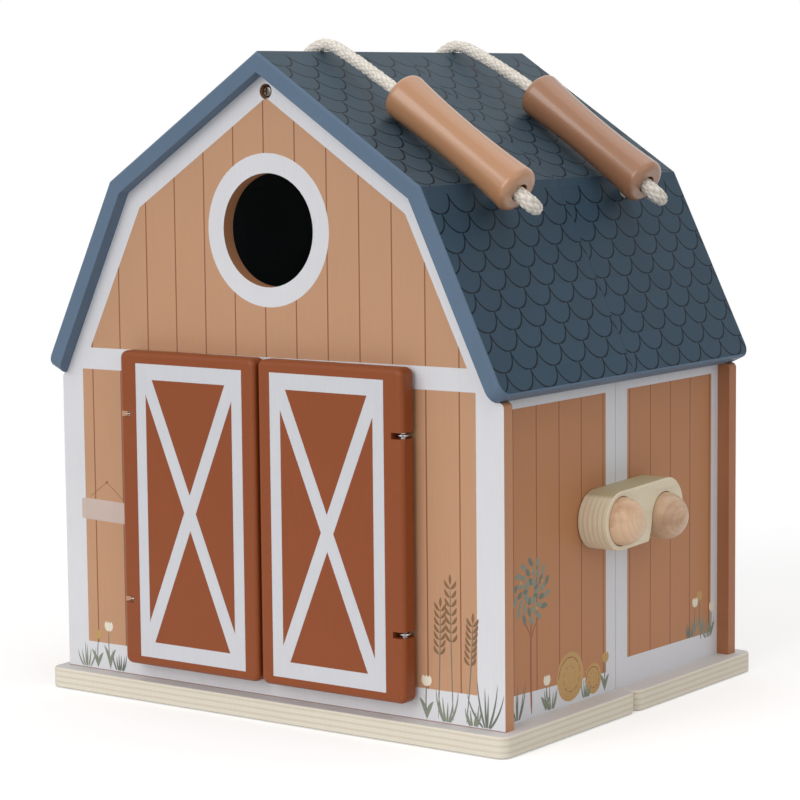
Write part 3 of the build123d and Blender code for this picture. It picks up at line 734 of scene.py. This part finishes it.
def handLaid(angle, along, seed):
    # three uneven fields in -1..1 over the rope: sums of a few waves round and along it
    chance = np.random.default_rng(seed)
    fields = []
    for _ in range(3):
        waves = [(chance.integers(1, 5), chance.uniform(0.15, 1.3), chance.uniform(0, 6.28))
                 for _ in range(7)]
        fields.append(sum(np.sin(k * angle[None, :] + 2 * np.pi * m * along + p) for k, m, p in waves) / 4.0)
    return [np.clip(f, -1, 1) for f in fields]


def braidedRope(name, route, material):
    # radius = R (1 - relief (1 - h)), h = the taller of two families of round strands that
    # wind left and right round the line and pass over and under each other in turn
    v = rope
    line = centreline(route)
    length = np.linalg.norm(np.diff(line, axis=0), axis=1).sum()
    points, at = resample(line, int(length / (v["step"] * mm)))
    side, up = sideAndUp(points)
    angle = np.arange(v["around"]) * 2 * np.pi / v["around"]
    turn = angle[None, :] / (2 * np.pi) * v["strands"]
    along = at[:, None] / (v["lay"] * mm)
    loose = handLaid(angle, along, v["seed"])      # no two strands lie quite alike
    left, right = turn + along + 0.30 * loose[0], turn - along + 0.30 * loose[1]
    heightLeft, heightRight = np.abs(np.sin(np.pi * left)), np.abs(np.sin(np.pi * right))
    over = (np.floor(left) + np.floor(right)) % 2 == 0
    height = np.where(over, heightLeft ** 0.6 * (0.55 + 0.45 * heightRight),
                      heightRight ** 0.6 * (0.55 + 0.45 * heightLeft))
    tight = np.argmin(np.linalg.norm(points - np.array(route[-6]) * mm, axis=1))
    swell = 1 + v["bulge"] * np.exp(-((at - at[tight]) / (v["bulgeReach"] * mm)) ** 2)   # opens in the bend
    sunk = v["relief"] * (1 - height) + 0.05 * (1 + loose[2])
    radius = v["diameter"] / 2 * mm * (1 - sunk) * swell[:, None]
    outward = np.cos(angle)[None, :, None] * side[:, None] + np.sin(angle)[None, :, None] * up[:, None]
    surface = points[:, None] + outward * radius[..., None]
    rows, columns = surface.shape[:2]
    grid = np.concatenate([surface.reshape(-1, 3), points[[0, -1]]])      # the last two close the ends
    ring = np.arange(columns)
    nextRing = (ring + 1) % columns
    lastRing = (rows - 1) * columns
    first = np.stack([nextRing, ring, np.full(columns, rows * columns)], 1)
    last = np.stack([ring + lastRing, nextRing + lastRing, np.full(columns, rows * columns + 1)], 1)
    faces = gridFaces(rows, columns).tolist() + first.tolist() + last.tolist()
    obj = addMesh(name, grid.tolist(), faces, material)
    strand = np.stack([np.r_[np.where(over, left, right).ravel(), 0, 0],
                       np.r_[np.where(over, right, left).ravel(), 0, 0]], 1)
    layStrands(obj.data, np.r_[height.ravel(), 0.5, 0.5], lambda corners: strand[corners])
    return obj, resample(points, v["pathPoints"])[0], float(length)


knot = {"tubeRadius": 2.35, "ballRadius": 7.0, "ballInset": 7.2, "steps": 240, "around": 24}


def ropeKnot(name, nodes, material):
    # overhand knot: a tube along a trefoil, P(t) = (sin t + 2 sin 2t, cos t - 2 cos 2t, -1.2 sin 3t),
    # scaled into each stopper's ball; both of a rope's knots in one mesh
    v = knot
    t = np.linspace(0, 2 * np.pi, v["steps"], endpoint=False)
    trefoil = np.stack([np.sin(t) + 2 * np.sin(2 * t), np.cos(t) - 2 * np.cos(2 * t),
                        -1.2 * np.sin(3 * t)], 1)
    velocity = np.roll(trefoil, -1, 0) - np.roll(trefoil, 1, 0)
    velocity /= np.linalg.norm(velocity, axis=1)[:, None]
    reference = np.cross(velocity, trefoil)
    reference /= np.linalg.norm(reference, axis=1)[:, None]
    other = np.cross(velocity, reference)
    angle = np.arange(v["around"]) * 2 * np.pi / v["around"]
    path = trefoil / 3.1 * (v["ballRadius"] - v["tubeRadius"])      # the trefoil reaches 3.1 from its middle
    twist = 1 - 0.10 * np.abs(np.sin(4 * angle[None, :] + 30 * t[:, None]))
    ring = np.cos(angle)[None, :, None] * reference[:, None] + np.sin(angle)[None, :, None] * other[:, None]
    ball = (path[:, None] + ring * (v["tubeRadius"] * twist)[..., None]).reshape(-1, 3)
    faces = gridFaces(v["steps"], v["around"], wrapRows=True)
    low, high = np.array(nodes) / mm
    middle = (low + high)[1:] / 2
    places = low[0] + v["ballInset"], high[0] - v["ballInset"]
    points = np.concatenate([ball + (x, *middle) for x in places])
    faces = np.concatenate([faces, faces + len(ball)])
    obj = addMesh(name, (points * mm).tolist(), faces.tolist(), material, merge=1e-7)
    columns = v["around"]
    layStrands(obj.data, np.full(len(obj.data.vertices), 0.6),
               lambda corners: np.stack([corners % columns / columns, corners // columns / 10.0], 1))
    return obj


ropeCotton = makeRopeMaterial("braidedCotton")
for side in ("front", "back"):
    route = list(zip(rope["x"], rope[side + "Y"], rope["z"]))
    cord, path, length = braidedRope(side + "Rope", route, ropeCotton)
    knots = ropeKnot(side + "RopeKnots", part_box(side + "_rope_knots"), ropeCotton)
    for piece, node in ((cord, side + "_rope"), (knots, side + "_rope_knots")):
        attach(piece, "barn")
        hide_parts(node)
    print(side, "rope", round(length / mm, 1), "mm")

# the print stands proud of the wall by that many mm and sinks its rim into it; colours are screen values
motifs = {
    "proud": 0.14, "rim": -0.04, "layer": 0.0006, "rows": 11, "columns": 7,
    "sage": (128, 134, 118), "moss": (104, 112, 100), "straw": (186, 148, 92), "cream": (226, 218, 200),
    "clay": (150, 92, 62), "ripe": (128, 92, 58), "seed": 11,
}


def stroke(base, tip, bend=0.0, width=1.5, shape="blade", colour="sage"):
    # a strip from base to tip in mm; bend is how far its middle leans left of the straight line
    (x0, y0), (x1, y1) = base, tip
    middle = ((x0 + x1) / 2 - (y1 - y0) * bend, (y0 + y1) / 2 + (x1 - x0) * bend)
    return (x0, y0, *middle, x1, y1, width, ("blade", "leaf", "disc", "stem").index(shape), *motifs[colour])


def disc(centre, radius, colour):
    x, y = centre
    return stroke((x - radius, y), (x + radius, y), 0.0, radius, "disc", colour)


def grassTuft(x, y, height, chance, colour="sage"):
    leans = np.linspace(-0.42, 0.42, 6) + chance.uniform(-0.06, 0.06, 6)
    return [stroke((x + lean * 5, y), (x + lean * height, y + height * chance.uniform(0.6, 1.0)),
                   -0.35 * lean, 0.75, "blade", colour) for lean in leans]


def tulip(x, y, height, chance, bloom="straw"):
    top = x + chance.uniform(-1.5, 1.5)
    parts = [stroke((x, y), (top, y + height), 0.05, 0.35, "stem", "moss"),
             stroke((x, y), (x - 4.5, y + height * 0.62), -0.18, 1.2, "leaf", "sage"),
             stroke((x, y), (x + 4.2, y + height * 0.55), 0.18, 1.2, "leaf", "sage")]
    return parts + [stroke((top + i * 0.7, y + height - 0.4), (top + i * 1.9, y + height + 5.2), -0.12 * i,
                           1.5, "leaf", bloom) for i in (-1, 1, 0)]


def wheatEar(x, y, height, lean):
    top = x + lean * height
    parts = [stroke((x, y), (top, y + height), -lean * 0.3, 0.35, "stem", "moss")]
    for i in range(7):
        h = y + height * (0.58 + 0.065 * i)
        at = x + lean * height * (0.58 + 0.065 * i)
        parts += [stroke((at, h), (at + s * 3.4, h + 4.4), -0.25 * s, 0.95, "leaf", "ripe") for s in (-1, 1)]
    return parts + [stroke((top, y + height), (top + lean * 4, y + height + 5.5), 0.0, 0.9, "leaf", "ripe")]


def roundTree(x, y, height, radius, chance):
    parts = [stroke((x, y), (x, y + height - radius), 0.02, 1.0, "stem", "clay")]
    parts += [stroke((x, y + height - 1.7 * radius), (x + s * radius * 0.5, y + height - radius), 0.1 * s,
                     0.5, "stem", "clay") for s in (-1, 1)]

    def crown(share, turn):
        return x + share * radius * np.cos(turn), y + height + share * radius * np.sin(turn)

    around = np.linspace(0, 2 * np.pi, 15)[:-1]
    for ring, reach in ((0.92, 0.34), (0.58, 0.34), (0.22, 0.3)):      # three rings of leaves
        parts += [stroke(crown(ring, a), crown(ring + reach, a + 0.3), 0.15, 1.7, "leaf",
                         "sage" if i % 3 else "moss") for i, a in enumerate(around + chance.uniform(0, 0.4))]
    return parts + [disc(crown(0.75, a), 1.1, "straw") for a in (0.4, 1.5, 2.6, 3.7, 5.2)]


def hayBale(x, y, radius):
    # a round bale seen from its end: a disc with a spiral of straw on it
    turns = np.linspace(0, 5 * np.pi, 26)
    spiral = np.stack([x + radius * 0.88 * turns / turns[-1] * np.cos(turns),
                       y + radius * (1 + 0.88 * turns / turns[-1] * np.sin(turns))], 1)
    return [disc((x, y + radius), radius, "straw")] + [
        stroke(tuple(a), tuple(b), -0.04, 0.42, "stem", "clay") for a, b in zip(spiral[1:-1], spiral[2:])]


def addPrint(name, points, faces, ink):
    obj = addMesh(name, points.tolist(), faces.tolist(), motifInk)
    paint = obj.data.attributes.new("motifColour", "FLOAT_COLOR", "POINT")
    paint.data.foreach_set("color", ink.ravel())
    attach(obj, "barn")


def layPrint(name, strokes, place):
    # strip: P(t) = (1-t)^2 A + 2t(1-t) B + t^2 C across v in -1..1 by width * profile(t);
    # its height is rim + (proud - rim)(1 - v^2), highest along the middle; later strokes lie a little higher
    v = motifs
    data = np.array(strokes, dtype=float)
    t = np.linspace(0, 1, v["rows"])[None, :, None]
    c = np.linspace(-1, 1, v["columns"])[None, None, :]
    a, b, e = (data[:, i:i + 2][:, None, None, :] for i in (0, 2, 4))
    tt = t[..., None]
    line = (1 - tt) ** 2 * a + 2 * tt * (1 - tt) * b + tt ** 2 * e
    slope = 2 * (1 - tt) * (b - a) + 2 * tt * (e - b)
    slope = slope / np.maximum(np.linalg.norm(slope, axis=-1, keepdims=True), 1e-9)
    normal = np.stack([-slope[..., 1], slope[..., 0]], -1)
    kind = data[:, 7][:, None, None]
    profile = np.select([kind == 0, kind == 1, kind == 2], [
        (1 - t) ** 0.6 * (0.6 + 0.4 * np.minimum(t * 6, 1)), np.sin(np.pi * t) ** 0.75,
        np.sqrt(np.maximum(1 - (2 * t - 1) ** 2, 0))], np.minimum(1, 8 * t * (1 - t) + 0.4))
    width = data[:, 6][:, None, None] * profile
    flat = line + normal * (width * c)[..., None]
    order = np.arange(len(data))[:, None, None] * v["layer"]
    height = v["rim"] + (v["proud"] - v["rim"]) * (1 - c ** 2) * (0.35 + 0.65 * np.sin(np.pi * t)) + order
    flat = flat.reshape(-1, 2)
    points = place(flat[:, 0], flat[:, 1], height.reshape(-1)) * mm
    per = v["rows"] * v["columns"]
    one = gridFaces(v["rows"], v["columns"], wrap=False)
    faces = (one[None] + np.arange(len(data))[:, None, None] * per).reshape(-1, 4)
    addPrint(name, points, faces, np.repeat([tint(*row) for row in data[:, 8:11]], per, axis=0))


def makeMotifInk(name):
    m, tree = newMaterial(name)
    ink = addNode(tree, "ShaderNodeAttribute", attribute_name="motifColour")
    return paintedFinish(m, ink.outputs["Color"], 0.6, cloud=0.10, grain=0.10, bump=0.05)


def onFrontGable(x, z, h):
    return np.stack([x, -barn["gableFace"] - h, z], -1)


def onRightSide(y, z, h):
    return np.stack([barn["sideFace"] + h, y, z], -1)


motifInk = makeMotifInk("motifInk")
chance = np.random.default_rng(motifs["seed"])
gableLeft = (grassTuft(-131, 12, 14, chance) + tulip(-123, 12, 16, chance)
             + tulip(-114, 12, 21, chance, "cream") + grassTuft(-107, 12, 11, chance, "moss"))
gableRight = (wheatEar(104, 13, 56, 0.03) + wheatEar(113, 13, 68, -0.02) + wheatEar(121, 13, 50, 0.08)
              + grassTuft(133, 12, 26, chance, "moss") + grassTuft(109, 12, 17, chance)
              + tulip(97, 12, 17, chance, "cream") + grassTuft(125, 12, 12, chance))
sideFront = (roundTree(-80, 13, 62, 14, chance) + grassTuft(-93, 12, 20, chance, "moss")
             + hayBale(-44, 12.4, 13) + grassTuft(-62, 12, 14, chance) + hayBale(-22, 12.4, 8)
             + grassTuft(-29, 12, 10, chance) + tulip(-11, 12, 15, chance, "straw")
             + tulip(-67, 12, 13, chance, "cream"))
sideBack = (tulip(82, 24, 17, chance, "cream") + tulip(89, 22, 22, chance) + grassTuft(96, 22, 18, chance)
            + grassTuft(77, 25, 10, chance, "moss") + tulip(100, 22, 14, chance, "cream"))
layPrint("gable_motif_left", gableLeft, onFrontGable)
layPrint("gable_motif_right", gableRight, onFrontGable)
layPrint("side_motif_front", sideFront, onRightSide)
layPrint("side_motif_back", sideBack, onRightSide)

signBoard = {"left": -132.6, "right": -93.0, "low": 93.4, "high": 105.2, "skew": 0.03, "proud": 0.22,
             "nail": (-113.8, 114.4), "strings": (-126.0, -101.5), "colour": (196, 176, 166)}


def makeSignBoard():
    # a crowned rectangle, height = proud * (1 - |v|^8)(1 - |u|^8), with two strings and a nail
    v = signBoard
    u, w = np.meshgrid(np.linspace(-1, 1, 33), np.linspace(-1, 1, 13), indexing="xy")
    x = (v["left"] + v["right"]) / 2 + u * (v["right"] - v["left"]) / 2
    z = (v["low"] + v["high"]) / 2 + w * (v["high"] - v["low"]) / 2 - v["skew"] * (x - v["left"])
    h = v["proud"] * (1 - np.abs(u) ** 8) * (1 - np.abs(w) ** 8) - 0.03
    addPrint("bare_sign_board", onFrontGable(x.ravel(), z.ravel(), h.ravel()) * mm,
             gridFaces(*x.shape, wrap=False), np.tile(tint(*v["colour"]), (x.size, 1)))
    nail, (first, second), top = v["nail"], v["strings"], v["high"] + 0.4
    hanging = [stroke((first, top), nail, 0.02, 0.22, "stem", "clay"),
               stroke((second, top - 0.7), nail, -0.02, 0.22, "stem", "clay"), disc(nail, 1.0, "clay")]
    layPrint("sign_strings", hanging, onFrontGable)


makeSignBoard()
print("motifs laid")

studio = {"keyPower": 52.5, "keyPlace": (-0.25, -3.05, 1.4), "keySize": 2.4,
          "fillPower": 9.0, "fillPlace": (2.8, -0.6, 1.6), "fillSize": 2.0,
          "topPower": 11.0, "topPlace": (0.4, 0.6, 2.8), "topSize": 2.2, "sky": 0.60,
          "floorShade": 0.8, "floorGlow": 0.36, "floorFade": (0.5, 1.1), "floorHeight": -0.0003}


def areaLight(name, place, power, size):
    light = bpy.data.lights.new(name, "AREA")
    light.energy, light.size = power, size
    obj = bpy.data.objects.new(name, light)
    obj.location = place
    obj.rotation_mode = "QUATERNION"
    obj.rotation_quaternion = (Vector((0, 0, 0.16)) - Vector(place)).to_track_quat("-Z", "Y")
    bpy.context.collection.objects.link(obj)


for lamp in ("key", "fill", "top"):
    areaLight(lamp + "Light", *(studio[lamp + part] for part in ("Place", "Power", "Size")))


def seenDirectly(tree):
    # 1 where the camera, a mirror or glass looks, 0 for the light that falls on things
    rays = tree.nodes.new("ShaderNodeLightPath")
    camera, glossy, through = (Field(tree, rays.outputs[f"Is {kind} Ray"])
                               for kind in ("Camera", "Glossy", "Transmission"))
    return camera.most(glossy).most(through)


world = bpy.data.worlds.new("studioWorld")
bpy.context.scene.world = world
world.use_nodes = True
tree = world.node_tree
tree.nodes.clear()
strength = seenDirectly(tree) * (1.0 - studio["sky"]) + studio["sky"]
background = addNode(tree, "ShaderNodeBackground", {"Color": (1, 1, 1, 1), "Strength": strength})
out = tree.nodes.new("ShaderNodeOutputWorld")
tree.links.new(background.outputs[0], out.inputs["Surface"])


def makeFloor():
    # a wide disc whose white comes from a glow that only the camera and mirrors see
    angle = np.linspace(0, 2 * np.pi, 96, endpoint=False)
    reach = np.array([0.0001, 0.5, 1.5, 4.0, 9.0])
    points = np.stack([reach[:, None] * np.cos(angle), reach[:, None] * np.sin(angle),
                       np.full((len(reach), len(angle)), studio["floorHeight"])], -1).reshape(-1, 3)
    material = bpy.data.materials.new("studioFloor")
    material.use_nodes = True
    tree = material.node_tree
    tree.nodes.clear()
    diffuse = addNode(tree, "ShaderNodeBsdfDiffuse", {"Color": (studio["floorShade"],) * 3 + (1,)})
    white, seen = (1, 1, 1, 1), seenDirectly(tree)
    glow = addNode(tree, "ShaderNodeEmission", {"Color": white, "Strength": seen * studio["floorGlow"]})
    both = addNode(tree, "ShaderNodeAddShader")
    tree.links.new(diffuse.outputs[0], both.inputs[0])
    tree.links.new(glow.outputs[0], both.inputs[1])
    far = addNode(tree, "ShaderNodeEmission", {"Color": white, "Strength": seen})
    place = tree.nodes.new("ShaderNodeTexCoord")
    away = addNode(tree, "ShaderNodeVectorMath", {0: place.outputs["Object"]}, operation="LENGTH")
    near, end = studio["floorFade"]
    fade = ((Field(tree, away.outputs["Value"]) - near) / (end - near)).clip()
    whole = addNode(tree, "ShaderNodeMixShader", {0: fade})
    tree.links.new(both.outputs[0], whole.inputs[1])
    tree.links.new(far.outputs[0], whole.inputs[2])
    out = tree.nodes.new("ShaderNodeOutputMaterial")
    tree.links.new(whole.outputs[0], out.inputs["Surface"])
    return addMesh("studioFloor", points.tolist(), gridFaces(len(reach), len(angle)).tolist(), material,
                   merge=0.001)


makeFloor()
bpy.context.scene.view_settings.view_transform = "Standard"
print("studio lit")
